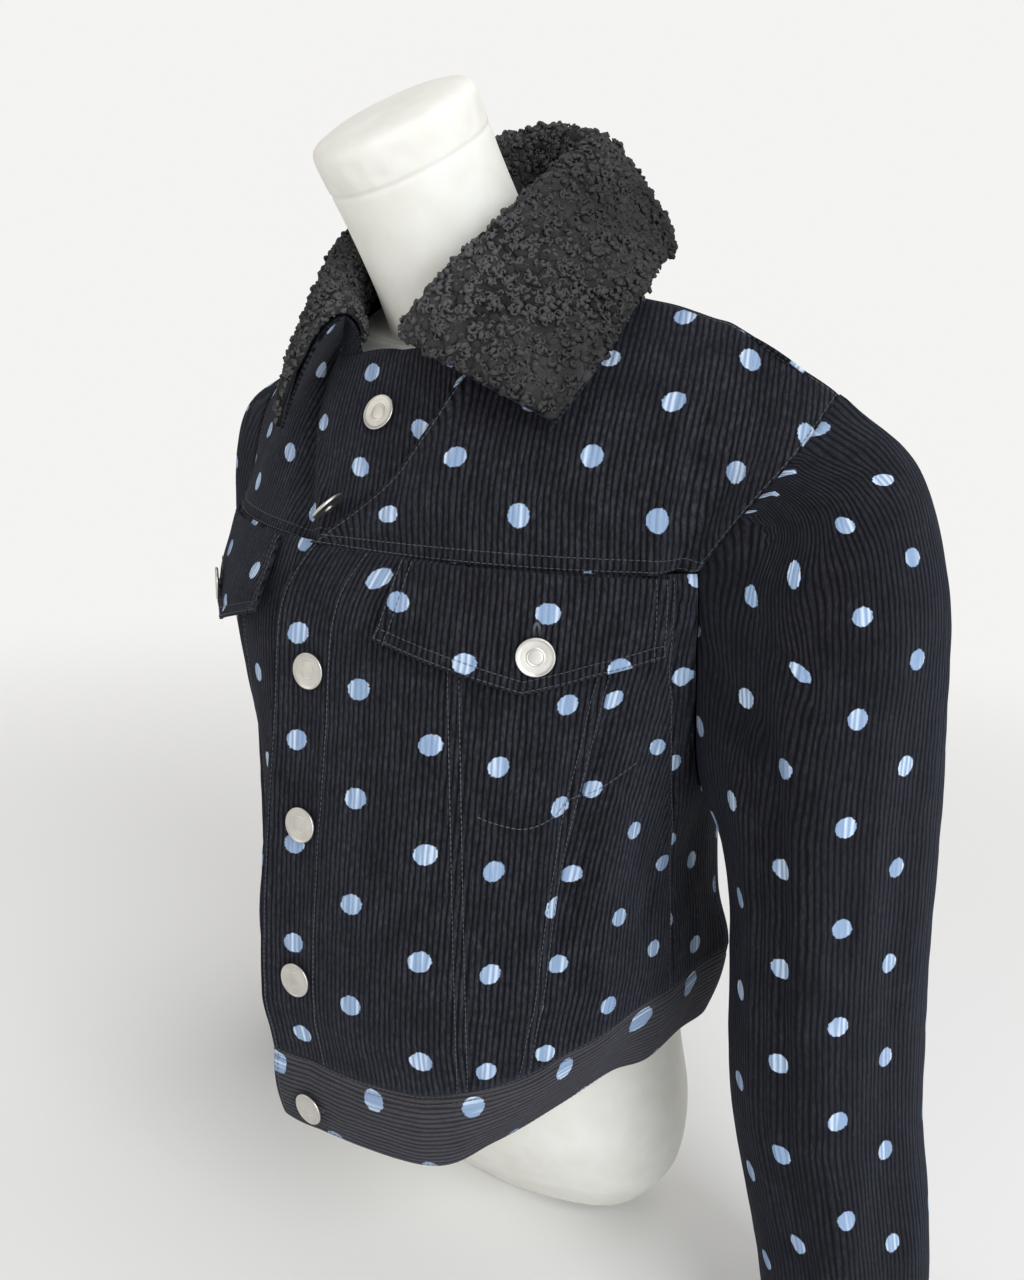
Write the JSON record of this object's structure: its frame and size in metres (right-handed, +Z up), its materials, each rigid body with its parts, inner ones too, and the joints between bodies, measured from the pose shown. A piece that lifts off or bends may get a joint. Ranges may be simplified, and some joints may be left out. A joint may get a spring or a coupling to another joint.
{
  "type": "corduroy jacket on a limbless dress form",
  "caption": "Short boxy corduroy jacket with a pile collar, chest flaps and a buttoned front, hollow and open, on a smooth limbless dress form.",
  "frame": {"origin": "On the surface that the form stands on, under the middle of the whole", "axes": "+Z is up, the jacket's front faces -Y and the wearer's left is +X"},
  "size_m": [0.5714, 0.3062, 0.7265],
  "materials": {
    "corduroy": "ribbed cotton corduroy, near black, with a print of pale blue dots",
    "sherpa": "curly black pile",
    "button_metal": "satin nickel",
    "form_cloth": "smooth ivory jersey"
  },
  "bodies": {
    "root": {"left_centre_panel": "corduroy", "left_v_panel": "corduroy", "left_side_panel": "corduroy", "left_underarm_panel": "corduroy", "right_centre_panel": "corduroy", "right_v_panel": "corduroy", "right_side_panel": "corduroy", "right_underarm_panel": "corduroy", "back_panel": "corduroy", "left_front_yoke": "corduroy", "right_front_yoke": "corduroy", "back_yoke": "corduroy", "waistband": "corduroy", "left_sleeve": "corduroy", "left_cuff": "corduroy", "right_sleeve": "corduroy", "right_cuff": "corduroy", "under_collar": "corduroy", "left_pocket_flap": "corduroy", "right_pocket_flap": "corduroy", "sherpa_collar": "sherpa", "front_button_1": "button_metal", "front_button_2": "button_metal", "front_button_3": "button_metal", "front_button_4": "button_metal", "front_button_5": "button_metal", "front_button_6": "button_metal", "left_flap_button": "button_metal", "right_flap_button": "button_metal", "dress_form": "form_cloth"}
  },
  "joints": []
}
